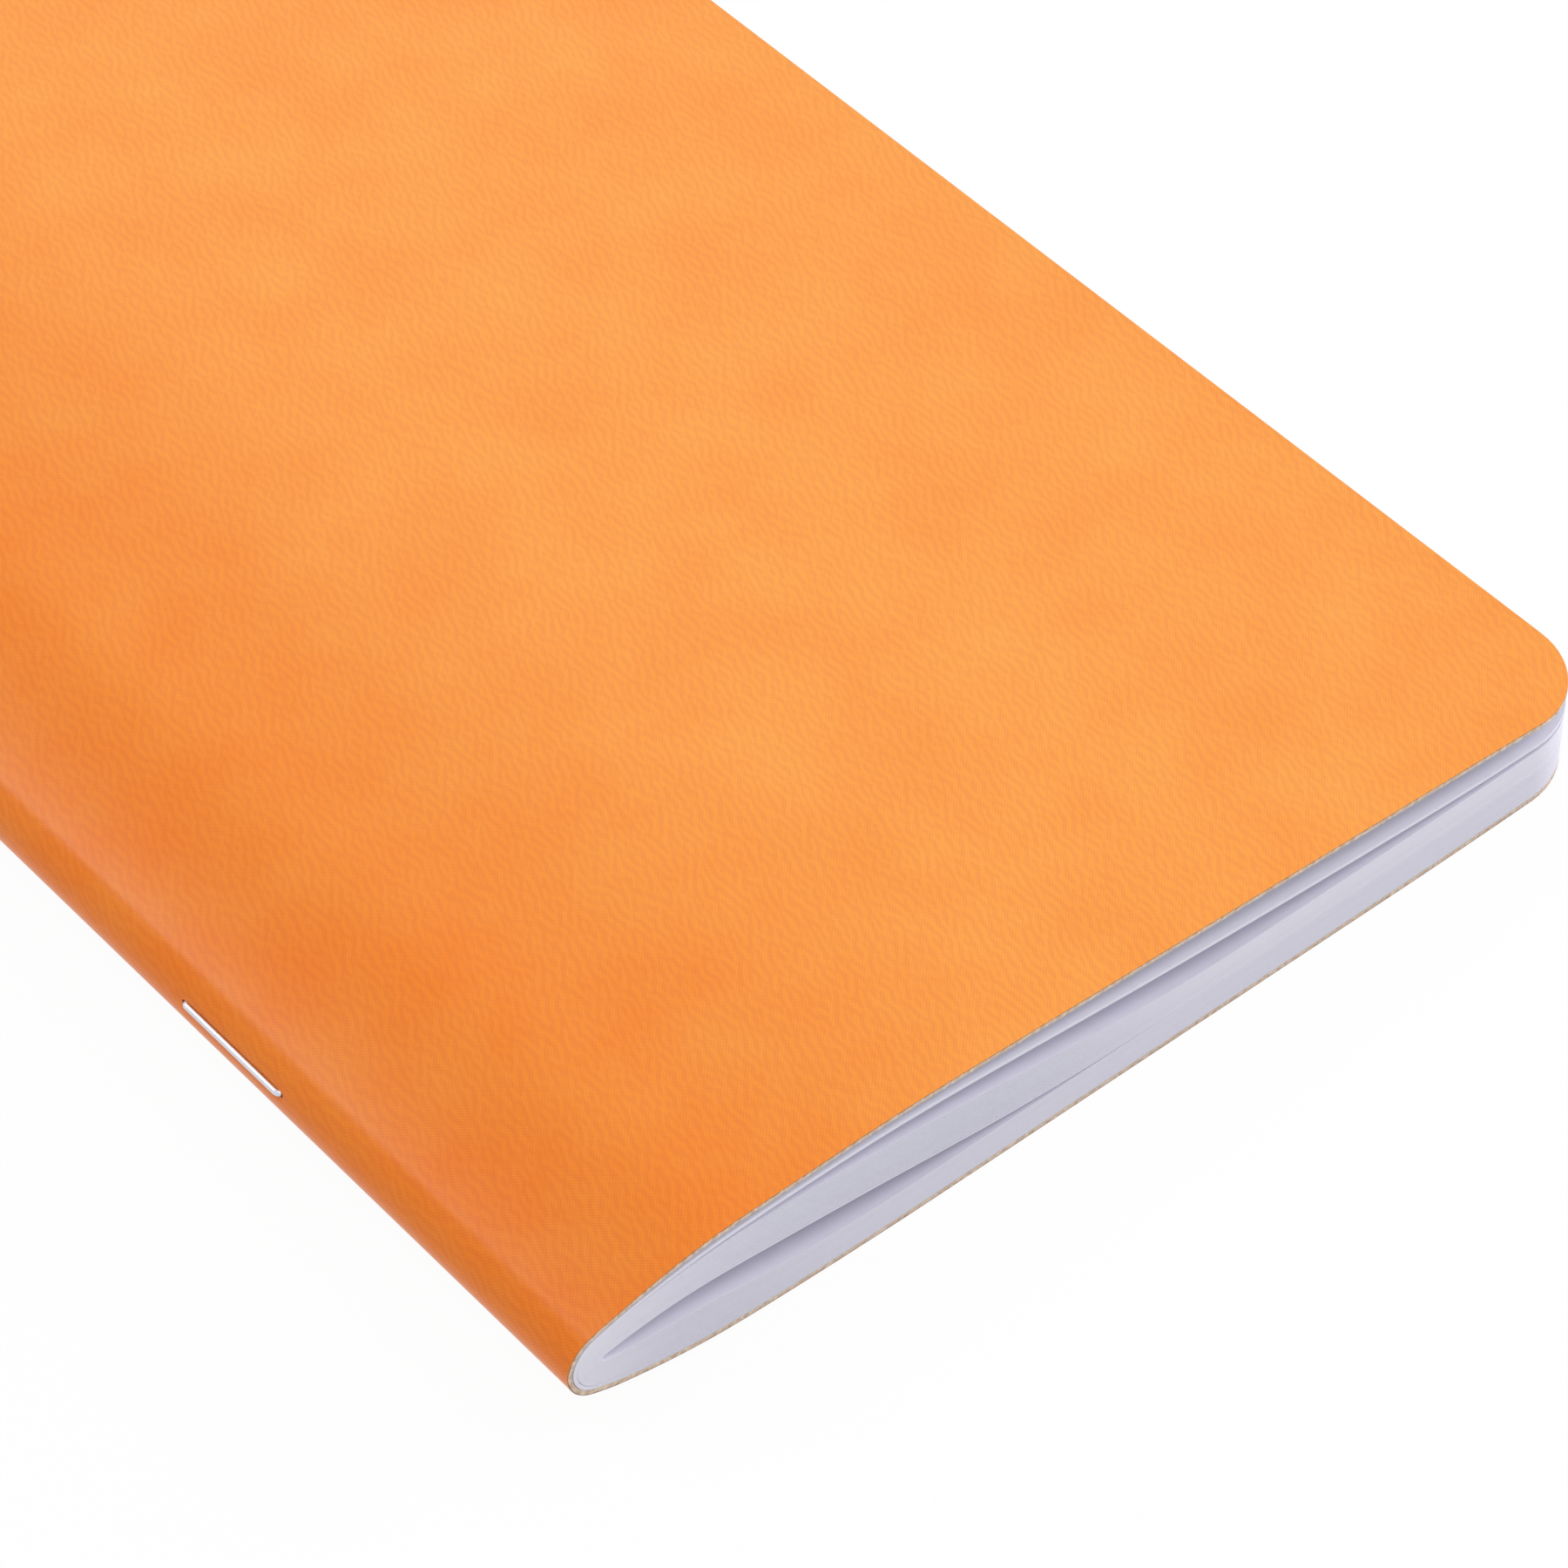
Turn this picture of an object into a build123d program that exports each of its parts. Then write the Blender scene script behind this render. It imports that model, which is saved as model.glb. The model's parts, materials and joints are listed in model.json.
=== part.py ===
from build123d import *
import math
import os

# Stapled exercise book, lying closed on its back cover with its leaves a little sprung open.
# X runs from the spine to the fore edge, Y from tail to head and Z up.
# The origin is the middle of the footprint, on the table.

# Cover and leaves, in millimetres
page_width = 90.0
page_height = 140.0
corner_radius = 6.35
card = 0.40
paper = 0.09
sheet_count = 24
first_leaf_count = 3

# Air between neighbours
leaf_air = 0.01
fold_air = 0.003
bunch_air = 0.03

# Fold, where every sheet wraps round the clenched staple legs
fold_inner_radius = 0.28
fold_rise = 2.78
inner_lean = 11.0
cover_lean = 20.0
hinge_gap = 0.10
hinge_margin = 0.10

# Staples
staple_wire = 0.45
staple_crown = 10.0
staple_clench = 3.6
staple_bend = 0.30
staple_proud = 0.30
staple_clearance = 0.03
staple_spacing = 71.0
staple_tilt = 15.0

# Fore edge, which curls up off the table
curl_length = 20.0
curl_height = 0.45
trim = 1.0

# Stations across the page, as shares of its width, and the heights there of what bends.
# Past the last station of a list its layer is flat.
back_stations = (0.09, 0.18, 0.33)
back_cover_rise = (1.25, 0.36, 0.0)
back_leaf_fan = (0.62, 0.40, 0.0)
front_stations = (0.09, 0.18, 0.29, 0.40, 0.51, 0.633)
centre_opening = (3.60, 3.08, 1.93, 0.70, 0.09, 0.0)
front_leaf_fan = (0.40, 1.09, 1.32, 1.36, 0.60, 0.0)
top_stations = front_stations + (0.78, 0.89, 1.02)
first_leaf_rise = (0.04, 0.40, 1.22, 1.65, 2.05, 1.85, 1.00, 0.46, 0.08)
front_cover_rise = (0.27, 0.40, 0.61, 0.97, 1.40, 1.70, 1.80, 1.68, 1.10)

# Sizes that follow
leaf_pitch = paper + leaf_air
fold_pitch = paper + fold_air
front_leaf_count = sheet_count - first_leaf_count
sheets_radius = fold_inner_radius + sheet_count * fold_pitch + bunch_air
cover_inner_radius = sheets_radius + bunch_air
cover_radius = cover_inner_radius + card
hinge_radius = cover_radius + staple_proud + hinge_margin + hinge_gap / 2
back_leaves_bottom = card + bunch_air
back_leaves_top = back_leaves_bottom + sheet_count * leaf_pitch
front_leaves_bottom = back_leaves_top + bunch_air
front_leaves_top = front_leaves_bottom + front_leaf_count * leaf_pitch
fold_x = cover_radius
fold_z = back_leaves_top + fold_rise
cut_end = page_width + trim
curl_start = page_width - curl_length
stack_height = 3 * fold_z
leg_y = staple_crown / 2
crown_radius = cover_radius + staple_proud - staple_wire / 2
crown_reach = crown_radius * math.cos(math.radians(staple_tilt)) + staple_wire / 2
overhang = max(crown_reach - cover_radius, 0)
spine_x = (overhang - page_width) / 2


def fold_point(radius, polar):
    """Point of the profile at a radius and polar angle about the fold."""
    turn = math.radians(polar)
    return (fold_x + radius * math.cos(turn), fold_z + radius * math.sin(turn))


def slope(degrees):
    """Unit direction at an angle above level."""
    turn = math.radians(degrees)
    return (math.cos(turn), math.sin(turn))


def bent_line(start, lean, stations, heights):
    """Smooth line from the fold through the stations, level at the last one."""
    across = [share * page_width for share in stations]
    spread = [0.0] + [x - fold_x for x in across]
    ends = [slope(lean), slope(0)]
    points = [start] + list(zip(across, heights))
    return Edge.make_spline(points, tangents=ends, parameters=spread, scale=False)


def curl_lift(across):
    """Height that the curled fore edge gains at a distance from the spine."""
    return curl_height * (max(across - curl_start, 0) / curl_length) ** 2


def flat_line(start):
    """Level run from a point, then the curl up to past the fore edge."""
    bend = (curl_start, start[1])
    tip = (cut_end, start[1] + curl_lift(cut_end))
    return [Line(start, bend), TangentArc(bend, tip, tangent=(1, 0))]


def front_side(radius, lean, stations, heights, is_flat):
    """Front half of one face of a sheet, from its fold to past the fore edge."""
    start = fold_point(radius, 90 + lean)
    bend = bent_line(start, lean, stations, heights)
    if not is_flat:
        return [bend]
    end = (stations[-1] * page_width, heights[-1])
    return [bend] + flat_line(end)


def back_side(radius, lean, heights):
    """Back half of one face of a sheet, from its fold to past the fore edge."""
    start = fold_point(radius, 270 - lean)
    bend = bent_line(start, -lean, back_stations, heights)
    end = (back_stations[-1] * page_width, heights[-1])
    return [bend] + flat_line(end)


def sheet_profile(inner_front, inner_back, outer_front, outer_back, radii, lean):
    """Closed outline of a folded sheet from the four halves of its two faces."""
    edges = inner_front + inner_back + outer_front + outer_back
    for radius in radii:
        top = fold_point(radius, 90 + lean)
        nose = fold_point(radius, 180)
        bottom = fold_point(radius, 270 - lean)
        edges.append(ThreePointArc(top, nose, bottom))
    edges.append(Line(inner_front[-1] @ 1, outer_front[-1] @ 1))
    edges.append(Line(inner_back[-1] @ 1, outer_back[-1] @ 1))
    return make_face(edges)


def front_height(place, layer):
    """Underside of a front leaf at a station; layer 0 is the innermost leaf."""
    fan = front_leaf_fan[place] / front_leaf_count
    return front_leaves_bottom + centre_opening[place] + layer * (leaf_pitch + fan)


def first_height(place, layer):
    """Underside of one of the first leaves at a station; layer 0 is the lowest of them."""
    base = front_leaves_top + bunch_air + curl_lift(top_stations[place] * page_width)
    if place < len(front_stations):
        base += centre_opening[place] + front_leaf_fan[place]
    return base + first_leaf_rise[place] + layer * leaf_pitch


def back_height(place, layer):
    """Top of a back leaf at a station; layer 0 is the innermost leaf."""
    fan = back_leaf_fan[place]
    share = layer / sheet_count
    return back_cover_rise[place] + back_leaves_top + fan * (1 - share) - layer * leaf_pitch


def folded_sheet(layer):
    """Profile of one folded sheet; layer 0 is the innermost."""
    radius = fold_inner_radius + layer * fold_pitch
    lean = inner_lean + (cover_lean - inner_lean) * layer / sheet_count
    if layer < front_leaf_count:
        stations = front_stations
        below = [front_height(place, layer) for place in range(len(stations))]
        is_flat = True
    else:
        radius += bunch_air
        stations = top_stations
        below = [first_height(place, layer - front_leaf_count) for place in range(len(stations))]
        is_flat = False
    above = [height + paper for height in below]
    top = [back_height(place, layer) for place in range(len(back_stations))]
    bottom = [height - paper for height in top]
    return sheet_profile(
        front_side(radius, lean, stations, below, is_flat),
        back_side(radius, lean, top),
        front_side(radius + paper, lean, stations, above, is_flat),
        back_side(radius + paper, lean, bottom),
        (radius, radius + paper),
        lean,
    )


def cover_profile():
    """Profile of the folded cover card."""
    below = []
    for place in range(len(top_stations)):
        below.append(first_height(place, first_leaf_count) + front_cover_rise[place])
    above = [height + card for height in below]
    top = [rise + card for rise in back_cover_rise]
    return sheet_profile(
        front_side(cover_inner_radius, cover_lean, top_stations, below, False),
        back_side(cover_inner_radius, cover_lean, top),
        front_side(cover_radius, cover_lean, top_stations, above, False),
        back_side(cover_radius, cover_lean, back_cover_rise),
        (cover_inner_radius, cover_radius),
        cover_lean,
    )


def place_profile(profile, length):
    """Profile carried along the spine, to half the length each way."""
    solid = extrude(Plane.XZ.offset(-length / 2) * profile, amount=length)
    return Pos(spine_x, 0, 0) * solid


def page_cutter():
    """Block with the outline of the trimmed book, square at the spine and rounded at the fore edge."""
    reach = page_width + cover_radius
    outline = Rectangle(reach, page_height)
    outline = fillet(outline.vertices().group_by(Axis.X)[-1], corner_radius)
    middle = spine_x + page_width - reach / 2
    return Pos(middle, 0, 0) * extrude(outline, amount=stack_height)


def split_at_hinge(profile):
    """Front part, back part and fold of a profile, parted by a thin ring about the fold."""
    centre = Pos(fold_x, fold_z)
    outside = profile - centre * Circle(hinge_radius + hinge_gap / 2)
    fold = profile & centre * Circle(hinge_radius - hinge_gap / 2)
    back, front = outside.faces().sort_by(Axis.Y)
    return front, back, fold


def on_fold(middle):
    """Place on the fold axis at a height up the spine, turned so that -X points at a staple's crown."""
    return Pos(spine_x + fold_x, middle, fold_z) * Rot(0, staple_tilt, 0)


def staple(middle):
    """Closed staple: crown outside the spine, legs through the fold, tips clenched towards each other."""
    tip = leg_y - staple_clench
    route = [(0, -tip), (0, -leg_y), (-crown_radius, -leg_y)]
    route += [(-crown_radius, leg_y), (0, leg_y), (0, tip)]
    path = FilletPolyline(*route, radius=staple_bend)
    section = Plane(origin=path @ 0, z_dir=path % 0) * Circle(staple_wire / 2)
    return on_fold(middle) * sweep(section, path=path)


def staple_room(middle):
    """Groove that the crown lies in and the punched square holes of the two legs."""
    width = staple_wire + 2 * staple_clearance
    groove = Pos(-crown_radius, 0, 0) * Rot(90, 0, 0) * Cylinder(width / 2, staple_crown)
    legs = [Pos(-crown_radius / 2, y, 0) * Box(crown_radius, width, width) for y in (-leg_y, leg_y)]
    return on_fold(middle) * (groove + legs)


def save(name, *solids):
    """One node, as one solid or a group of separate solids."""
    shape = solids[0] if len(solids) == 1 else Compound(children=list(solids))
    export_step(shape, f"parts/{name}.step")


os.makedirs("parts", exist_ok=True)
cutter = page_cutter()
rough_length = page_height + 2 * trim
staple_places = {"tail_staple": -staple_spacing / 2, "head_staple": staple_spacing / 2}
rooms = [staple_room(y) for y in staple_places.values()]

# Cover
front, back, fold = split_at_hinge(cover_profile())
save("front_cover", place_profile(front, rough_length) & cutter)
save("back_cover", place_profile(back, rough_length) & cutter)
save("cover_spine", place_profile(fold, page_height) - rooms)

# Sheets, numbered from the outside in
folds = []
for layer in range(sheet_count):
    number = sheet_count - layer
    front, back, fold = split_at_hinge(folded_sheet(layer))
    save(f"sheet_{number:02d}_front_leaf", place_profile(front, rough_length) & cutter)
    save(f"sheet_{number:02d}_back_leaf", place_profile(back, rough_length) & cutter)
    folds.append((place_profile(fold, page_height) - rooms).solid())
save("sheet_folds", *folds)

# Staples
for name, y in staple_places.items():
    save(name, staple(y))

print("fold axis", round(spine_x + fold_x, 3), round(fold_z, 3), "hinge radius", round(hinge_radius, 3))
print("cover radius", round(cover_radius, 3))
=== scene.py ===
# %% [markdown]
# A pocket exercise book: 24 sheets of paper folded once inside an orange card cover and held by
# two wire staples. It lies closed on its back cover, with its leaves a little sprung open.
# The construction comes packed from CAD as rigid halves of sheets. Here every half gets a smooth
# surface that follows the same lines, and the folds get surfaces of their own.

# %% Load the imported model
import json
import math
import bpy
import numpy as np
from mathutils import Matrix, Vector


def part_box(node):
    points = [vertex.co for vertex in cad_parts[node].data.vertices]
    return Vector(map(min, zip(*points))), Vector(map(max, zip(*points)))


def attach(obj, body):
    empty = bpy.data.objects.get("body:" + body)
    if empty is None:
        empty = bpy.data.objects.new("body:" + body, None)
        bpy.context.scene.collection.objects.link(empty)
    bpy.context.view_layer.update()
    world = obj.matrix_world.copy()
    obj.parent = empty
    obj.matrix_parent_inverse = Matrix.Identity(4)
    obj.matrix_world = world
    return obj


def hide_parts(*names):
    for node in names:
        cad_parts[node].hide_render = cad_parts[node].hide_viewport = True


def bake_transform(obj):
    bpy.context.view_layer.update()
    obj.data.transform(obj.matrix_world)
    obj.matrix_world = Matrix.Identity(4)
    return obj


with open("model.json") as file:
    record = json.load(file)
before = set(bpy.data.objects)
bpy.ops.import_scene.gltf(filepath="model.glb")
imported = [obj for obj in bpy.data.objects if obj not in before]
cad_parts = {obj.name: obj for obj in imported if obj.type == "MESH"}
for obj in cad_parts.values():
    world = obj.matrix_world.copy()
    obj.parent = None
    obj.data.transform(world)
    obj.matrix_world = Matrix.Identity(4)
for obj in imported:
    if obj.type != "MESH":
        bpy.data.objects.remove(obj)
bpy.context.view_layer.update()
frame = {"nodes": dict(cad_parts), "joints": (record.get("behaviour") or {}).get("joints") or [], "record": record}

mm = 0.001

# %% [markdown]
# The camera looks down on the tail of the spine, as the photograph does. Its place and angle were
# worked out from the book's straight edges and round corner, so they are plain numbers here.

# %% Camera
camera_data = bpy.data.cameras.new("camera")
camera_data.lens = 142.2
camera_data.sensor_width = 36.0
camera = bpy.data.objects.new("camera", camera_data)
camera.location = (-186.15 * mm, -257.5 * mm, 305.8 * mm)
camera.rotation_euler = (math.radians(43.5), 0.0, math.radians(-40.21))
bpy.context.scene.collection.objects.link(camera)
bpy.context.scene.camera = camera
print("camera lens:", round(camera_data.lens, 1), "mm")

# %% [markdown]
# A white studio table with soft light. The floor and the surroundings read as white to the camera
# and in reflections, while the object is lit by a dimmer surround and four soft lamps: one high behind
# that glances off the shoulder of the spine, one behind on the right, one high in front that lights the
# pages' rims and leaves the gaps between them dark, and a low one at the fore edge.

# %% Node helpers
scene = bpy.context.scene
scene.view_settings.view_transform = "Standard"


def add_node(tree, kind, **settings):
    """One node of a node tree, with its own settings."""
    node = tree.nodes.new(kind)
    for name, value in settings.items():
        setattr(node, name, value)
    return node


def wire(tree, value, socket):
    """Links an output to an input, or sets the input when the value is a plain number or colour."""
    if isinstance(value, bpy.types.NodeSocket):
        tree.links.new(value, socket)
    else:
        socket.default_value = value


def math_node(tree, operation, first, second=0.0, clamp=False):
    """Result of one Math node."""
    node = add_node(tree, "ShaderNodeMath", operation=operation, use_clamp=clamp)
    wire(tree, first, node.inputs[0])
    wire(tree, second, node.inputs[1])
    return node.outputs[0]


def seen_directly(tree):
    """1 for rays from the camera, from reflections and through clear things, else 0."""
    path = add_node(tree, "ShaderNodeLightPath")
    sharp = math_node(tree, "MAXIMUM", path.outputs["Is Glossy Ray"], path.outputs["Is Transmission Ray"])
    return math_node(tree, "MAXIMUM", path.outputs["Is Camera Ray"], sharp)


# %% Surround and table
surround_level = 0.54
floor_shade_kept = 0.04
table_grey = (0.88, 0.88, 0.88, 1.0)

world = bpy.data.worlds.new("studio")
world.use_nodes = True
scene.world = world
sky = world.node_tree
sky_light = sky.nodes["Background"]
sky_light.inputs["Color"].default_value = (1.0, 1.0, 1.0, 1.0)
brighter = math_node(sky, "MULTIPLY", seen_directly(sky), 1.0 - surround_level)
wire(sky, math_node(sky, "ADD", brighter, surround_level), sky_light.inputs["Strength"])

table = bpy.data.materials.new("white_table")
table.use_nodes = True
tree = table.node_tree
table_paint = tree.nodes["Principled BSDF"]
table_paint.inputs["Base Color"].default_value = table_grey
table_paint.inputs["Roughness"].default_value = 0.9
table_paint.inputs["Specular IOR Level"].default_value = 0.0
table_white = add_node(tree, "ShaderNodeEmission")
table_mix = add_node(tree, "ShaderNodeMixShader")
wire(tree, math_node(tree, "MULTIPLY", seen_directly(tree), 1.0 - floor_shade_kept), table_mix.inputs[0])
wire(tree, table_paint.outputs["BSDF"], table_mix.inputs[1])
wire(tree, table_white.outputs["Emission"], table_mix.inputs[2])
wire(tree, table_mix.outputs["Shader"], tree.nodes["Material Output"].inputs["Surface"])

floor_half = 3.0
floor_drop = 0.02 * mm
floor_mesh = bpy.data.meshes.new("floor")
floor_corners = np.array([(-1, -1), (1, -1), (1, 1), (-1, 1)]) * floor_half
floor_points = np.column_stack([floor_corners, np.full(4, -floor_drop)])
floor_mesh.from_pydata(floor_points.tolist(), [], [(0, 1, 2, 3)])
floor_mesh.materials.append(table)
floor = bpy.data.objects.new("floor", floor_mesh)
scene.collection.objects.link(floor)
print("floor is", 2 * floor_half, "m wide")

# %% Lamps


def soft_lamp(name, place, size, watts):
    """Square area lamp at a place, turned to the origin."""
    data = bpy.data.lights.new(name, "AREA")
    data.size = size
    data.energy = watts
    lamp = bpy.data.objects.new(name, data)
    lamp.location = place
    way = -np.array(place)
    away = math.atan2(math.hypot(way[0], way[1]), -way[2])
    lamp.rotation_euler = (away, 0.0, math.atan2(way[1], way[0]) - math.pi / 2)
    scene.collection.objects.link(lamp)


soft_lamp("spine_lamp", (-0.33, 0.64, 0.82), 0.34, 2.7)
soft_lamp("right_lamp", (0.75, 0.70, 0.75), 0.8, 1.3)
soft_lamp("front_lamp", (0.30, -0.52, 1.05), 0.6, 3.1)
soft_lamp("fore_lamp", (1.15, -0.22, 0.25), 0.6, 9.0)
print("lamps:", len(bpy.data.lights))

# %% [markdown]
# Every sheet in the model is a profile in the XZ plane carried along Y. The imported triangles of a
# node hold that profile exactly: the corners of all faces that look up lie on its top line, and
# those that look down on its bottom line. Reading the lines from there keeps each surface on its
# CAD solid, with a smooth curve between the corners in place of flat facets.

# %% Lines of a sheet, read from its solid
fold_axis = np.array(frame["joints"][0]["pos_m"])[[0, 2]]
same_place = 0.02 * mm
same_level = 0.0001 * mm


def face_line(node, side):
    """Top (side 1) or bottom (side -1) line of a node: corners of its faces that look that way, by X.

    The end that was cut round the fold axis also looks up or down, so faces on that ring are left out.
    """
    mesh = frame["nodes"][node].data
    mesh.calc_loop_triangles()
    points = np.empty(len(mesh.vertices) * 3)
    mesh.vertices.foreach_get("co", points)
    corners = np.empty(len(mesh.loop_triangles) * 3, dtype=int)
    mesh.loop_triangles.foreach_get("vertices", corners)
    triangles = points.reshape(-1, 3)[corners.reshape(-1, 3)]
    normal = np.cross(triangles[:, 1] - triangles[:, 0], triangles[:, 2] - triangles[:, 0])
    looks = side * normal[:, 2] > 0.5 * np.linalg.norm(normal, axis=1)
    radius = np.linalg.norm(triangles[..., [0, 2]] - fold_axis, axis=-1)
    on_ring = np.all(radius < radius.min() + same_place, axis=1)
    line = triangles[looks & ~on_ring].reshape(-1, 3)[:, [0, 2]]
    line = line[np.argsort(line[:, 0])]
    first = np.concatenate([[True], np.diff(line[:, 0]) > same_place])
    return line[first]


def line_slope(line):
    """Slope dz/dx at each point of a line: a parabola through it and its neighbours, or 0 at a level run."""
    slope = np.gradient(line[:, 1], line[:, 0], edge_order=2)
    level = np.abs(np.diff(line[:, 1])) < same_level
    slope[:-1][level] = 0.0
    slope[1:][level] = 0.0
    return slope


def smooth_height(line, x):
    """Cubic curve through a line's points with the slope of its neighbours at each, at places x."""
    slope = line_slope(line)
    place = np.clip(np.searchsorted(line[:, 0], x) - 1, 0, len(line) - 2)
    width = line[place + 1, 0] - line[place, 0]
    t = (x - line[place, 0]) / width
    start = (1 + 2 * t) * (1 - t) ** 2 * line[place, 1] + t * (1 - t) ** 2 * width * slope[place]
    end = t ** 2 * (3 - 2 * t) * line[place + 1, 1] - t ** 2 * (1 - t) * width * slope[place + 1]
    return start + end


# %% Sizes of the book
tail_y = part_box("cover_spine")[0][1]
head_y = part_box("cover_spine")[1][1]
fore_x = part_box("sheet_12_back_leaf")[1][0]
half_height = (head_y - tail_y) / 2
corner_radius = 6.35 * mm
sheet_count = sum(name.endswith("_back_leaf") for name in frame["nodes"])
first_leaf_count = len(frame["record"]["behaviour"]["bodies"]["first_leaves"])
staple_nodes = ("tail_staple", "head_staple")
staple_places = [sum(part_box(node)[k][1] for k in (0, 1)) / 2 for node in staple_nodes]
staple_low, staple_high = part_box("tail_staple")
staple_half = (staple_high[1] - staple_low[1]) / 2
wire_radius = 0.225 * mm
crown = np.array([staple_low[0] + wire_radius, staple_high[2] - wire_radius]) - fold_axis
crown_way = crown / np.linalg.norm(crown)
crown_lift = math.atan2(crown[1], -crown[0])
print("fold axis in mm:", (fold_axis / mm).round(2), "sheets:", sheet_count)
print("staples tilted by", round(math.degrees(crown_lift), 1), "degrees")

# %% [markdown]
# A sheet of paper or card becomes a closed thin slab. Its two lines give the faces, and at each
# station the slab is as wide as the page, less what the rounded corner takes off near the fore
# edge. The slab is one grid whose rows run round the section, closed by two end strips.

# %% Slab between two lines
spine_crowding = 1.6
corner_stations = 15
sharp_angle = math.radians(50)


def half_width(x):
    """Half the page's height at x: less a quarter circle's fall inside the corner radius."""
    into = np.clip(x - (fore_x - corner_radius), 0, corner_radius)
    return half_height - (corner_radius - np.sqrt(corner_radius ** 2 - into ** 2))


def page_stations(start, end, count):
    """Places along X: close together near the spine, and evenly turned round the corner circle."""
    flat_end = fore_x - corner_radius
    t = np.linspace(0, 1, count)
    run = start + (flat_end - start) * t ** spine_crowding
    turn = np.linspace(0, math.pi / 2, corner_stations)[1:]
    corner = flat_end + (end - flat_end) * np.sin(turn)
    return np.concatenate([run, corner])


def slab(name, outer, inner, materials, rows=5, start_length=0.0, dent=None, tuck=0.0):
    """Closed slab between an outer and an inner line of (x, z) points, and the length of its outer line.

    Section k is the rectangle from y = -w to w between outer[k] and inner[k], with w the half width
    of the page there, less a tuck. Going round it gives twice as many points as rows, so the skin is a
    grid of sections by rows, and two strips close the ends. The map runs with the outer line's length
    and y, and depth goes from 0 on the outer face to 1 on the inner one.
    """
    across = np.linspace(-1, 1, rows) if np.isscalar(rows) else rows
    count, wide = len(outer), len(across)
    y = across[None, :] * (half_width(outer[:, 0]) - tuck)[:, None]
    face = [np.stack([np.repeat(line[:, :1], wide, 1), y, np.repeat(line[:, 1:], wide, 1)], axis=-1)
            for line in (outer, inner)]
    if dent:
        face[0] = dent(face[0])
    points = np.concatenate([face[0], face[1][:, ::-1]], axis=1).reshape(-1, 3)
    ring = 2 * wide
    k, r = np.meshgrid(np.arange(count - 1), np.arange(ring), indexing="ij")
    after = (r + 1) % ring
    skin = np.stack([k * ring + r, k * ring + after, (k + 1) * ring + after, (k + 1) * ring + r], axis=-1)
    kind = np.where(r < wide - 1, 0, np.where((r >= wide) & (r < ring - 1), 1, 2))
    c = np.arange(wide - 1)
    near = np.stack([c, ring - 1 - c, ring - 2 - c, c + 1], axis=-1)
    far = near[:, ::-1] + (count - 1) * ring
    faces = np.concatenate([skin.reshape(-1, 4), near, far])
    kinds = np.concatenate([kind.reshape(-1), np.full(2 * (wide - 1), 2)])
    loop = np.concatenate([outer, inner[::-1]])
    following = np.roll(loop, -1, axis=0)
    if np.sum(loop[:, 0] * following[:, 1] - following[:, 0] * loop[:, 1]) < 0:
        faces = faces[:, ::-1]
    step = np.linalg.norm(np.diff(outer, axis=0), axis=1)
    length = start_length + np.concatenate([[0.0], np.cumsum(step)])
    mesh = bpy.data.meshes.new(name)
    mesh.from_pydata(points.tolist(), [], faces.tolist())
    mesh.polygons.foreach_set("material_index", kinds.astype(np.int32))
    mesh.polygons.foreach_set("use_smooth", np.ones(len(faces), dtype=bool))
    mesh.set_sharp_from_angle(angle=sharp_angle)
    chart = np.stack([np.repeat(length, ring), points[:, 1]], axis=-1) / mm
    layer = mesh.uv_layers.new(name="sheet_map")
    layer.data.foreach_set("uv", chart[faces.reshape(-1)].astype(np.float32).reshape(-1))
    depth = mesh.attributes.new("depth", "FLOAT", "POINT")
    depth.data.foreach_set("value", np.tile(np.repeat([0.0, 1.0], wide), count).astype(np.float32))
    for material in materials:
        mesh.materials.append(material)
    piece = bpy.data.objects.new(name, mesh)
    scene.collection.objects.link(piece)
    return piece, length[-1]


print("half width at the fore edge in mm:", round(float(half_width(fore_x)) / mm, 2))

# %% [markdown]
# White writing paper. Its faces carry a faint ruling, and its cut edges are a little duller, with a
# tone that drifts from leaf to leaf so that the trimmed block shows fine lines. On those edges the back
# leaves are painted darker as shade, and single leaves beside the gaps are painted light as highlights.

# %% Fibre mottle, shared by paper, card and wire
fibre = bpy.data.node_groups.new("fibre_mottle", "ShaderNodeTree")
fibre.interface.new_socket("Vector", in_out="INPUT", socket_type="NodeSocketVector")
fibre.interface.new_socket("Scale", in_out="INPUT", socket_type="NodeSocketFloat")
fibre.interface.new_socket("Mottle", in_out="OUTPUT", socket_type="NodeSocketFloat")
fibre_in = add_node(fibre, "NodeGroupInput")
fibre_out = add_node(fibre, "NodeGroupOutput")
fibre_noise = add_node(fibre, "ShaderNodeTexNoise")
fibre_noise.inputs["Detail"].default_value = 6.0
fibre_noise.inputs["Roughness"].default_value = 0.65
wire(fibre, fibre_in.outputs["Vector"], fibre_noise.inputs["Vector"])
wire(fibre, fibre_in.outputs["Scale"], fibre_noise.inputs["Scale"])
wire(fibre, fibre_noise.outputs[0], fibre_out.inputs["Mottle"])
print("group made:", fibre.name)

# %% Material helpers


def new_material(name, roughness):
    """Material with a Principled shader, its tree and the shader."""
    material = bpy.data.materials.new(name)
    material.use_nodes = True
    shader = material.node_tree.nodes["Principled BSDF"]
    shader.inputs["Roughness"].default_value = roughness
    return material, material.node_tree, shader


def mottle(tree, vector, scale):
    """Fibre mottle group placed in a material, at its own scale."""
    node = add_node(tree, "ShaderNodeGroup", node_tree=fibre)
    wire(tree, vector, node.inputs["Vector"])
    node.inputs["Scale"].default_value = scale
    return node.outputs["Mottle"]


def mix_colour(tree, share, first, second):
    """Colour between two, by a share from 0 to 1."""
    node = add_node(tree, "ShaderNodeMix", data_type="RGBA")
    wire(tree, share, node.inputs[0])
    wire(tree, first, node.inputs[6])
    wire(tree, second, node.inputs[7])
    return node.outputs[2]


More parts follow.
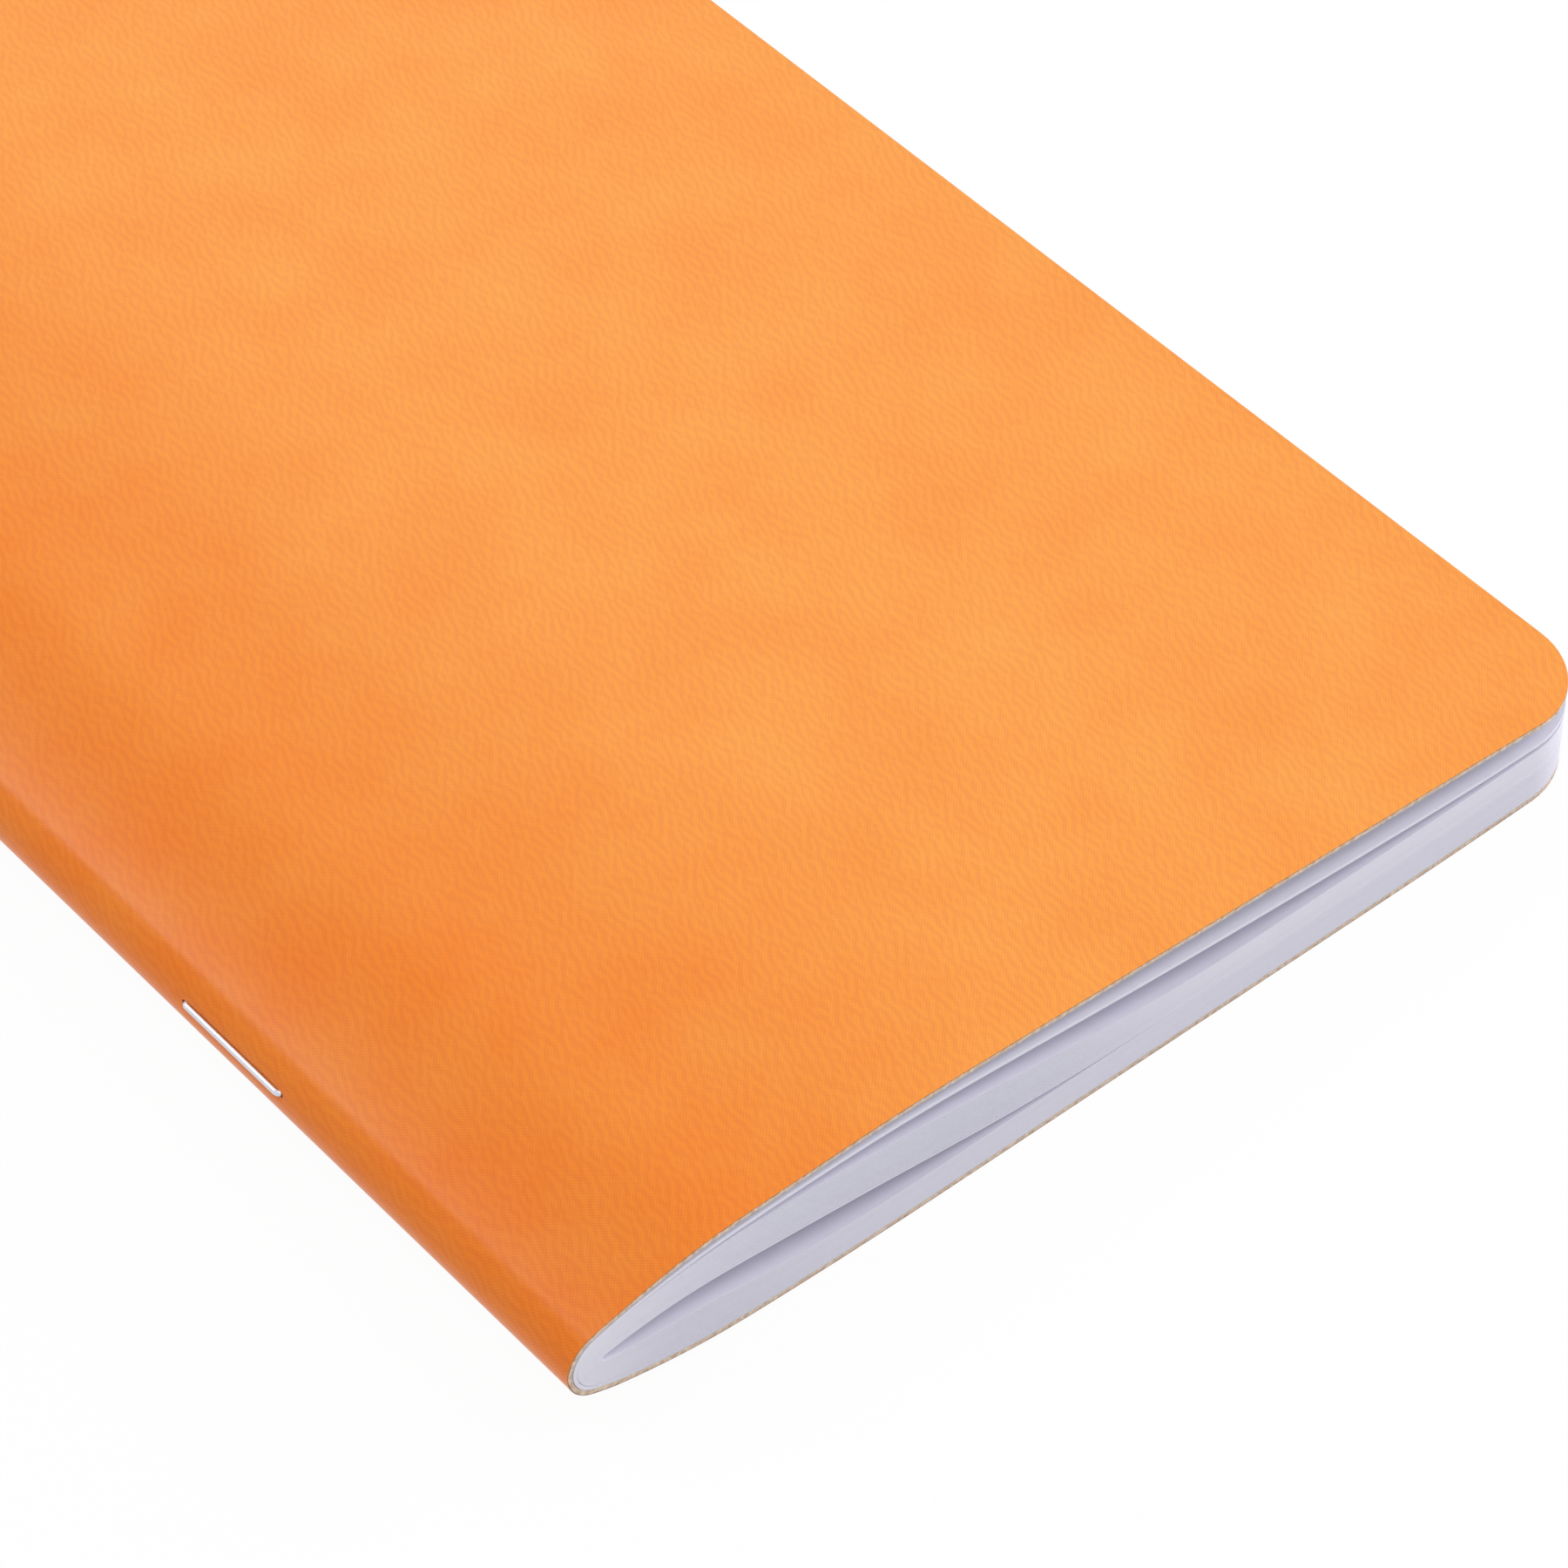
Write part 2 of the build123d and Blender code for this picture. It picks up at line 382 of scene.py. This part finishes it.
def bump(tree, height, distance, strength, shader):
    """Fine relief on a shader's normal."""
    node = add_node(tree, "ShaderNodeBump")
    node.inputs["Distance"].default_value = distance
    node.inputs["Strength"].default_value = strength
    wire(tree, height, node.inputs["Height"])
    wire(tree, node.outputs["Normal"], shader.inputs["Normal"])


def band(tree, value, low, high):
    """0 below low, 1 above high and a straight climb between."""
    node = add_node(tree, "ShaderNodeMapRange")
    wire(tree, value, node.inputs["Value"])
    node.inputs["From Min"].default_value = low
    node.inputs["From Max"].default_value = high
    return node.outputs["Result"]


def weighted_sum(tree, first, first_weight, second, second_weight):
    """Sum of two values, each times its own weight."""
    first_part = math_node(tree, "MULTIPLY", first, first_weight)
    second_part = math_node(tree, "MULTIPLY", second, second_weight)
    return math_node(tree, "ADD", first_part, second_part)


def sheet_map(tree):
    """The piece's own map: length along the sheet and height up the page, in millimetres."""
    node = add_node(tree, "ShaderNodeUVMap", uv_map="sheet_map")
    return node.outputs["UV"]


# %% Page face and page edge
page_white = (0.80, 0.785, 0.895, 1.0)
page_shade = (0.75, 0.735, 0.85, 1.0)
edge_white = (0.87, 0.865, 0.95, 1.0)
edge_shade = (0.60, 0.59, 0.69, 1.0)
rule_ink = (0.50, 0.56, 0.70, 1.0)
rule_pitch = 7.0
rule_width = 0.18
rule_strength = 0.55
tone_share = 0.75


def make_page():
    """Page face: faint fibre mottle and thin rules square to the spine."""
    material, tree, shader = new_material("page_face", 0.75)
    chart = sheet_map(tree)
    split = add_node(tree, "ShaderNodeSeparateXYZ")
    wire(tree, chart, split.inputs[0])
    from_rule = math_node(tree, "ADD", split.outputs["Y"], rule_pitch / 2)
    step = math_node(tree, "PINGPONG", from_rule, rule_pitch / 2)
    line = band(tree, step, rule_width, rule_width / 2)
    plain = mix_colour(tree, mottle(tree, chart, 0.8), page_shade, page_white)
    inked = math_node(tree, "MULTIPLY", line, rule_strength)
    wire(tree, mix_colour(tree, inked, plain, rule_ink), shader.inputs["Base Color"])
    bump(tree, mottle(tree, chart, 6.0), 0.01 * mm, 0.25, shader)
    return material


def make_page_edge():
    """Cut edge of the leaves: matt, with the leaf's own tone, painted shade and highlights, and fibre specks."""
    material, tree, shader = new_material("page_edge", 0.9)
    place = add_node(tree, "ShaderNodeTexCoord").outputs["Object"]
    tone = add_node(tree, "ShaderNodeAttribute", attribute_name="leaf_tone").outputs["Fac"]
    specks = mottle(tree, place, 2500.0)
    share = weighted_sum(tree, tone, tone_share, specks, 1.0 - tone_share)
    wire(tree, mix_colour(tree, share, edge_shade, edge_white), shader.inputs["Base Color"])
    bump(tree, specks, 0.02 * mm, 0.3, shader)
    return material


page_face = make_page()
page_edge = make_page_edge()
paper_materials = (page_face, page_face, page_edge)
print("paper finishes:", page_face.name, page_edge.name)

# %% Tones of the leaves, with painted shade and highlights, from the first in front to the last behind
# The back block's edges are painted darker as the shade low by the table. The lowest first leaf and one of the
# middle three leaves are painted light as the highlights along the gaps.
front_block_tone = 0.66
shaded_back_block_tone = 0.42
tone_drift = 0.08
lifted_leaf_highlight_tone = 0.9
middle_leaf_tones_with_highlight = (0.5, 0.9, 0.55)
draw = np.random.default_rng(7)
drift = np.convolve(draw.normal(0.0, 1.0, 2 * sheet_count + 4), np.ones(3) / 3, mode="same")[2:-2]
leaf_tones_with_painted_light = np.repeat([front_block_tone, shaded_back_block_tone], sheet_count) + tone_drift * drift
leaf_tones_with_painted_light[first_leaf_count - 1] = lifted_leaf_highlight_tone
leaf_tones_with_painted_light[sheet_count - 2:sheet_count + 1] = middle_leaf_tones_with_highlight
leaf_tones_with_painted_light = np.clip(leaf_tones_with_painted_light, 0, 1)
print("leaf tones from", leaf_tones_with_painted_light.min().round(2), "to", leaf_tones_with_painted_light.max().round(2))

# %% [markdown]
# The leaves: 24 in front and 24 behind, each on the lines of its own solid. They lie in bunches with
# air between, as paper does that was folded and never pressed flat again. One block with lines painted
# on its rim would be lighter, but it could not part into bunches when the book opens.

# %% Leaves
shoulder_end = fold_axis[0] + 2.2 * mm
leaf_tuck = 0.02 * mm
leaf_stations = 60


def give_tone(piece, start, end):
    """Stores a tone on the piece's points that runs evenly from its first section to its last."""
    count = len(piece.data.vertices)
    attribute = piece.data.attributes.new("leaf_tone", "FLOAT", "POINT")
    attribute.data.foreach_set("value", np.linspace(start, end, count).astype(np.float32))


def leaf_lines(node, is_front, start=None):
    """Outer and inner line of a leaf, at stations from its start to the fore edge."""
    lines = {side: face_line(node, side) for side in (1, -1)}
    begins = {side: max(line[0, 0], start or -1.0) for side, line in lines.items()}
    places = {side: page_stations(begins[side], fore_x, leaf_stations) for side in lines}
    heights = {side: smooth_height(lines[side], places[side]) for side in lines}
    top, bottom = [np.column_stack([places[side], heights[side]]) for side in (1, -1)]
    return (top, bottom) if is_front else (bottom, top)


for number in range(1, sheet_count + 1):
    for half in ("front", "back"):
        node = f"sheet_{number:02d}_{half}_leaf"
        is_front = half == "front"
        is_first = is_front and number <= first_leaf_count
        outer, inner = leaf_lines(node, is_front, shoulder_end if is_first else None)
        leaf, _ = slab(f"leaf_{number:02d}_{half}", outer, inner, paper_materials, tuck=leaf_tuck)
        tone = leaf_tones_with_painted_light[number - 1 if is_front else 2 * sheet_count - number]
        give_tone(leaf, tone, tone)
        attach(leaf, "first_leaves" if is_first else f"{half}_leaves")
        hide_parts(node)
print("leaves:", 2 * sheet_count)

# %% [markdown]
# The folds. Every sheet goes round the clenched wire in an arc about the fold axis and leaves it in
# two short legs that run on into its leaves. The fold is what bends when the book opens, so it is
# a surface of its own that runs smoothly from the back leaves to the front leaves. The three
# first leaves can turn by themselves, so their folds are parted at the top of the arc.

# %% Lines of a fold
fold_inner_radius = 0.28 * mm
fold_pitch = 0.093 * mm
paper = 0.09 * mm
bunch_air = 0.03 * mm
inner_lean = 11.0
cover_lean = 20.0
leg_count = 13
arc_count = 33


def arc_line(radius, lean):
    """Arc about the fold axis, from the lower leg round the spine to the upper leg."""
    polar = np.radians(np.linspace(270 - lean, 90 + lean, arc_count))
    return fold_axis + radius * np.column_stack([np.cos(polar), np.sin(polar)])


def leg_line(start, start_way, end, end_way):
    """Cubic from one point and direction to another, with both speeds equal to the distance."""
    t = np.linspace(0, 1, leg_count)[:, None]
    reach = np.linalg.norm(end - start)
    way = [np.array(v) / np.linalg.norm(v) * reach for v in (start_way, end_way)]
    first = (1 + 2 * t) * (1 - t) ** 2 * start + t * (1 - t) ** 2 * way[0]
    return first + t ** 2 * (3 - 2 * t) * end - t ** 2 * (1 - t) * way[1]


def fold_lines(front_node, back_node, radii, lean):
    """Outer and inner line of a fold as (lower leg, arc, upper leg), each running towards the front."""
    lines = []
    for radius, front_side, back_side in ((radii[1], 1, -1), (radii[0], -1, 1)):
        arc = arc_line(radius, lean)
        front, back = face_line(front_node, front_side), face_line(back_node, back_side)
        turn = math.radians(lean)
        upper = leg_line(arc[-1], (math.cos(turn), math.sin(turn)), front[0], (1.0, line_slope(front)[0]))
        lower = leg_line(back[0], (-1.0, -line_slope(back)[0]), arc[0], (-math.cos(turn), math.sin(turn)))
        lines.append((lower, arc, upper))
    return lines


def joined(*runs):
    """Runs that meet end to end as one line."""
    return np.concatenate([runs[0]] + [run[1:] for run in runs[1:]])


print("innermost fold's radius in mm:", round(fold_inner_radius / mm, 2))

# %% Sunken ends of a fold, and baked placement


def bow(line, depth):
    """How far a fold's ends sink in, half a sine wave along it, so that its layers part when it closes."""
    return depth * np.sin(np.linspace(0, math.pi, len(line)))


def bend_up(piece):
    """Bakes the fold's placement into its points."""
    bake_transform(piece)


def bend_along(piece):
    """Bakes the run's placement into its points."""
    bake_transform(piece)


# %% Folds
fold_tuck = 0.05 * mm
first_leaf_stations = 9


def leaf_start(node, side):
    """Stations of a first leaf from its solid's edge to where its rigid part starts."""
    line = face_line(node, side)
    places = np.linspace(line[0, 0], shoulder_end, first_leaf_stations)
    return np.column_stack([places, smooth_height(line, places)])


for number in range(1, sheet_count + 1):
    layer = sheet_count - number
    is_first = number <= first_leaf_count
    radius = fold_inner_radius + layer * fold_pitch + (bunch_air if is_first else 0.0)
    lean = inner_lean + (cover_lean - inner_lean) * layer / sheet_count
    nodes = (f"sheet_{number:02d}_front_leaf", f"sheet_{number:02d}_back_leaf")
    outer, inner = fold_lines(*nodes, (radius, radius + paper), lean)
    runs = 2 if is_first else 3
    whole = joined(*outer[:runs])
    tuck = leaf_tuck + bow(whole, fold_tuck)
    fold, _ = slab(f"fold_{number:02d}", whole, joined(*inner[:runs]), paper_materials, tuck=tuck)
    bend_up(fold)
    folds = [fold]
    if is_first:
        top = [joined(line[2], leaf_start(nodes[0], side)) for line, side in ((outer, 1), (inner, -1))]
        shoulder, _ = slab(f"fold_{number:02d}_shoulder", *top, paper_materials, tuck=leaf_tuck)
        bend_along(shoulder)
        folds.append(shoulder)
    back_tone = leaf_tones_with_painted_light[2 * sheet_count - number]
    front_tone = leaf_tones_with_painted_light[number - 1]
    for fold in folds:
        give_tone(fold, back_tone if fold is folds[0] else front_tone, front_tone)
        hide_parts("sheet_folds")
print("folds:", sheet_count)

# %% [markdown]
# The cover is one card with a satin orange print of leather grain outside. A picture of leather could
# be laid on it, but noise on the card's own map follows every bend and never repeats. The noise is
# drawn out along axes that lean off the spine, and its mean half a ridge to each side is taken away,
# which leaves short soft ridges two thirds of a millimetre apart. A screen of fine printed dots and
# soft clouds of tone lie over them. The ground is painted paler away from the fold as a sheen on the
# satin coat, so the orange is deepest along the fold. Beside the ends of each staple a near-black spot
# is painted as the shade inside the hole that the leg pierced.

# %% Grain, dots and painted shade in the staple holes of the print
card = 0.40 * mm
cover_inner_radius = 2.572 * mm
ridge_pitch = 0.66
ridge_noise = 2.9
ridge_lean = 19.0
ridge_stretch = 0.38
dot_pitch = 0.196
dot_turn = math.radians(45)
hole_radius = 0.20


def leather_ridges(tree, chart):
    """Noise on leaning axes, drawn out along the ridges, less its mean half a ridge to each side."""
    heights = []
    for shift in (0.0, -ridge_pitch / 2, ridge_pitch / 2):
        turned = add_node(tree, "ShaderNodeMapping", vector_type="TEXTURE")
        turned.inputs["Location"].default_value = (shift, 0.0, 0.0)
        turned.inputs["Rotation"].default_value = (0.0, 0.0, math.radians(-ridge_lean))
        turned.inputs["Scale"].default_value = (1.0, 1.0 / ridge_stretch, 1.0)
        wire(tree, chart, turned.inputs["Vector"])
        noise = add_node(tree, "ShaderNodeTexNoise")
        noise.inputs["Scale"].default_value = ridge_noise
        noise.inputs["Detail"].default_value = 0.0
        wire(tree, turned.outputs["Vector"], noise.inputs["Vector"])
        heights.append(noise.outputs[0])
    sides = weighted_sum(tree, heights[1], 0.5, heights[2], 0.5)
    return math_node(tree, "SUBTRACT", heights[0], sides)


def screen_dots(tree, chart):
    """Printed dots, 0 to 1: mean of two sines on axes turned by 45 degrees."""
    turned = add_node(tree, "ShaderNodeMapping")
    turned.inputs["Rotation"].default_value = (0.0, 0.0, dot_turn)
    turned.inputs["Scale"].default_value = (2 * math.pi / dot_pitch,) * 3
    wire(tree, chart, turned.inputs["Vector"])
    split = add_node(tree, "ShaderNodeSeparateXYZ")
    wire(tree, turned.outputs["Vector"], split.inputs[0])
    waves = [math_node(tree, "SINE", split.outputs[axis]) for axis in ("X", "Y")]
    return math_node(tree, "ADD", weighted_sum(tree, waves[0], 0.25, waves[1], 0.25), 0.5)


def tinted(tree, colour, share, tint):
    """Colour multiplied by a tint, as far as a share from 0 to 1 says."""
    node = add_node(tree, "ShaderNodeMix", data_type="RGBA", blend_type="MULTIPLY")
    wire(tree, share, node.inputs[0])
    wire(tree, colour, node.inputs[6])
    wire(tree, tint, node.inputs[7])
    return node.outputs[2]


def hole_shade_spots(tree, chart):
    """1 in a small round spot just past each end of each crown, by distance on the map: the painted shade in the
    leg's hole.
    """
    along = crown_lift * (cover_inner_radius + card) / mm
    nearest = 1.0
    for place in staple_places:
        for end in (-1, 1):
            spot = (along, (place + end * staple_half) / mm, 0.0)
            apart = add_node(tree, "ShaderNodeVectorMath", operation="DISTANCE")
            apart.inputs[1].default_value = spot
            wire(tree, chart, apart.inputs[0])
            nearest = math_node(tree, "MINIMUM", apart.outputs["Value"], nearest)
    return band(tree, nearest, hole_radius, hole_radius / 2)


print("ridges and dots in mm:", ridge_pitch, dot_pitch)

# %% Cover finishes
print_pale_and_sheen = (0.98, 0.435, 0.078, 1.0)
print_deep = (0.93, 0.190, 0.004, 1.0)
ridge_tint = (0.95, 0.90, 1.0, 1.0)
dot_tint = (0.90, 0.80, 0.85, 1.0)
# Near black: painted shade inside the holes that the staple legs pierced.
painted_hole_shade = (0.045, 0.018, 0.012, 1.0)
inside_white = (0.84, 0.835, 0.88, 1.0)
inside_shade = (0.76, 0.755, 0.81, 1.0)
core_pale = (0.86, 0.70, 0.56, 1.0)
core_brown = (0.46, 0.32, 0.23, 1.0)
# The outer line of print on the cut edge is orange print painted dark brown, as it looks in shade.
edge_ink_in_shade = (0.20, 0.075, 0.03, 1.0)
ridge_depth = 0.13
# The ground is painted paler away from the fold as a sheen on the satin coat, so it stays deepest along the fold.
# The clouds are the print's own tone.
sheen_from = 4.0
sheen_to = 45.0
pale_least = 0.12
painted_sheen_by_fold = 0.45
pale_by_cloud = 0.30


def make_cover_print():
    """Printed outer face: a ground with a painted sheen that pales it away from the fold, with clouds, ridges and
    dots, in satin.
    """
    material, tree, shader = new_material("cover_print", 0.31)
    shader.inputs["Specular IOR Level"].default_value = 0.18
    chart = sheet_map(tree)
    split = add_node(tree, "ShaderNodeSeparateXYZ")
    wire(tree, chart, split.inputs[0])
    sheen_from_fold = band(tree, math_node(tree, "ABSOLUTE", split.outputs["X"]), sheen_from, sheen_to)
    clouds = band(tree, mottle(tree, chart, 0.09), 0.25, 0.75)
    share = weighted_sum(tree, sheen_from_fold, painted_sheen_by_fold, clouds, pale_by_cloud)
    ground = mix_colour(tree, math_node(tree, "ADD", share, pale_least), print_deep, print_pale_and_sheen)
    ridges = leather_ridges(tree, chart)
    furrows = band(tree, ridges, ridge_depth, -ridge_depth)
    ink = tinted(tree, tinted(tree, ground, furrows, ridge_tint), screen_dots(tree, chart), dot_tint)
    wire(tree, mix_colour(tree, hole_shade_spots(tree, chart), ink, painted_hole_shade), shader.inputs["Base Color"])
    bump(tree, ridges, 0.004 * mm, 0.2, shader)
    return material


def make_cover_inside():
    """Unprinted inner face: white uncoated card."""
    material, tree, shader = new_material("cover_inside", 0.8)
    chart = sheet_map(tree)
    white = mix_colour(tree, mottle(tree, chart, 1.2), inside_shade, inside_white)
    wire(tree, white, shader.inputs["Base Color"])
    bump(tree, mottle(tree, chart, 4.0), 0.02 * mm, 0.3, shader)
    return material


def make_cover_edge():
    """Cut edge of the card: a line of print at the outside, painted dark brown as print in shade, then a fibrous
    beige core.
    """
    material, tree, shader = new_material("cover_edge", 0.9)
    place = add_node(tree, "ShaderNodeTexCoord").outputs["Object"]
    depth = add_node(tree, "ShaderNodeAttribute", attribute_name="depth").outputs["Fac"]
    fibres = band(tree, mottle(tree, place, 2200.0), 0.32, 0.68)
    core = mix_colour(tree, fibres, core_brown, core_pale)
    inked = band(tree, weighted_sum(tree, depth, 1.0, fibres, 0.10), 0.24, 0.12)
    wire(tree, mix_colour(tree, inked, core, edge_ink_in_shade), shader.inputs["Base Color"])
    bump(tree, fibres, 0.04 * mm, 0.5, shader)
    return material


cover_materials = (make_cover_print(), make_cover_inside(), make_cover_edge())
print("cover finishes:", [material.name for material in cover_materials])

# %% [markdown]
# The cover card runs unbroken from one fore edge round the spine to the other. It bends in three
# places when the book opens, so it is made of four surfaces that meet exactly: the back panel, the
# wrap round the spine, the shoulder over the first leaves and the front panel. Their common map starts
# at the spine's nose. The wire has pressed a groove into the wrap.

# %% Groove of the staples
wide_rows = 29
close_rows = 121
close_past_staple = 1.5 * mm
groove_depth = 0.10 * mm
groove_half = 0.30 * mm
groove_past_staple = 0.15 * mm


def staple_rows():
    """Rows up the page as shares: wide apart, and close together along each staple."""
    wide = np.linspace(-1, 1, wide_rows)
    reach = staple_half + close_past_staple
    close = [np.linspace(place - reach, place + reach, close_rows) / half_height for place in staple_places]
    return np.unique(np.concatenate([wide] + close).round(5))


def staple_dent(grid):
    """Groove under each crown: a bell across the crown's direction times a flat-topped bell along it."""
    sideways = np.array([-crown_way[1], crown_way[0]])
    across = (grid[..., [0, 2]] - fold_axis) @ sideways / groove_half
    depth = np.zeros(grid.shape[:2])
    for place in staple_places:
        along = (grid[..., 1] - place) / (staple_half + groove_past_staple)
        depth += groove_depth * np.exp(-across ** 2 - along ** 8)
    moved = grid.copy()
    moved[..., [0, 2]] -= depth[..., None] * crown_way
    return moved


print("rows up the wrap:", len(staple_rows()))

# %% Lines of the cover
panel_bend_end = fold_axis[0] + 4.6 * mm
shoulder_stations = 25
bend_stations = 48
panel_stations = 130


def face_run(node, side, start, places):
    """Points of one face of a node at places along X, from its solid's spine edge if start is None."""
    line = face_line(node, side)
    x = places(line[0, 0] if start is None else start)
    return np.column_stack([x, smooth_height(line, x)])


def shoulder_places(start):
    """Even places from a start to where the front panel begins."""
    return np.linspace(start, shoulder_end, shoulder_stations)


def panel_places(start):
    """Places from a start to the fore edge, close together where the panel bends."""
    bend = np.linspace(start, panel_bend_end, bend_stations + 1)[:-1]
    return np.concatenate([bend, page_stations(panel_bend_end, fore_x, panel_stations)])


cover_radii = (cover_inner_radius, cover_inner_radius + card)
cover_fold = fold_lines("front_cover", "back_cover", cover_radii, cover_lean)
back_panel = [face_run("back_cover", side, None, panel_places)[::-1] for side in (-1, 1)]
front_start = [face_run("front_cover", side, None, shoulder_places) for side in (1, -1)]
back_run = [joined(panel, fold[0]) for panel, fold in zip(back_panel, cover_fold)]
wrap_run = [fold[1] for fold in cover_fold]
shoulder_run = [joined(fold[2], start) for start, fold in zip(front_start, cover_fold)]
front_run = [face_run("front_cover", side, shoulder_end, panel_places) for side in (1, -1)]


def run_length(line):
    """Length of a line of points."""
    return np.linalg.norm(np.diff(line, axis=0), axis=1).sum()


nose_at = run_length(back_run[0]) + run_length(wrap_run[0]) / 2
print("from the fore edge to the nose in mm:", round(nose_at / mm, 1))

# %% Cover
leg_tuck = 0.07 * mm
wrap_tuck = 0.05 * mm
front_tuck = 0.01 * mm
back_sections = len(back_run[0])
back_tuck = np.interp(np.arange(back_sections), (len(back_panel[0]), back_sections), (0.0, leg_tuck))
whole_tuck = leg_tuck + bow(wrap_run[0], wrap_tuck)
shoulder_tuck = np.interp(np.arange(len(shoulder_run[0])), (0, leg_count), (leg_tuck, front_tuck))

cover_back, reached = slab("cover_back", *back_run, cover_materials,
                           start_length=-nose_at, tuck=back_tuck)
cover_wrap, reached = slab("cover_wrap", *wrap_run, cover_materials, staple_rows(),
                           start_length=reached, dent=staple_dent, tuck=whole_tuck)
cover_shoulder, reached = slab("cover_shoulder", *shoulder_run, cover_materials,
                               start_length=reached, tuck=shoulder_tuck)
cover_front, reached = slab("cover_front", *front_run, cover_materials,
                            start_length=reached, tuck=front_tuck)
print("cover card is", round((nose_at + reached) / mm, 1), "mm from fore edge to fore edge")

bend_along(cover_back)
bend_up(cover_wrap)
bend_along(cover_shoulder)
bend_along(cover_front)
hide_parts("back_cover")
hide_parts("cover_spine")
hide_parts("front_cover")

# %% [markdown]
# The staples are bright galvanised wire. Their solids are round and bent as the real wire is, so they
# stay, with fine drawing marks along the wire.

# %% Staples
# Both wire colours carry a lilac tint that is a painted reflection of the pale lilac surroundings. The two tones
# mix by random drawing marks.
wire_light_with_lilac_reflection = (0.72, 0.72, 0.79, 1.0)
wire_dark_with_lilac_reflection = (0.60, 0.60, 0.68, 1.0)
mark_stretch = 0.06


def make_staple_wire():
    """Bright wire: metal whose tone and roughness change a little in fine marks along Y; the lilac tint of its
    colour is a painted reflection of the surroundings.
    """
    material, tree, shader = new_material("staple_wire", 0.25)
    shader.inputs["Metallic"].default_value = 1.0
    place = add_node(tree, "ShaderNodeTexCoord").outputs["Object"]
    drawn = add_node(tree, "ShaderNodeMapping")
    drawn.inputs["Scale"].default_value = (1.0, mark_stretch, 1.0)
    wire(tree, place, drawn.inputs["Vector"])
    marks = mottle(tree, drawn.outputs["Vector"], 2500.0)
    wire(tree, mix_colour(tree, marks, wire_dark_with_lilac_reflection, wire_light_with_lilac_reflection), shader.inputs["Base Color"])
    roughness = math_node(tree, "ADD", math_node(tree, "MULTIPLY", marks, 0.10), 0.20)
    wire(tree, roughness, shader.inputs["Roughness"])
    return material


staple_wire = make_staple_wire()
for node in staple_nodes:
    materials = frame["nodes"][node].data.materials
    materials.clear()
    materials.append(staple_wire)
print("staples:", len(staple_nodes))
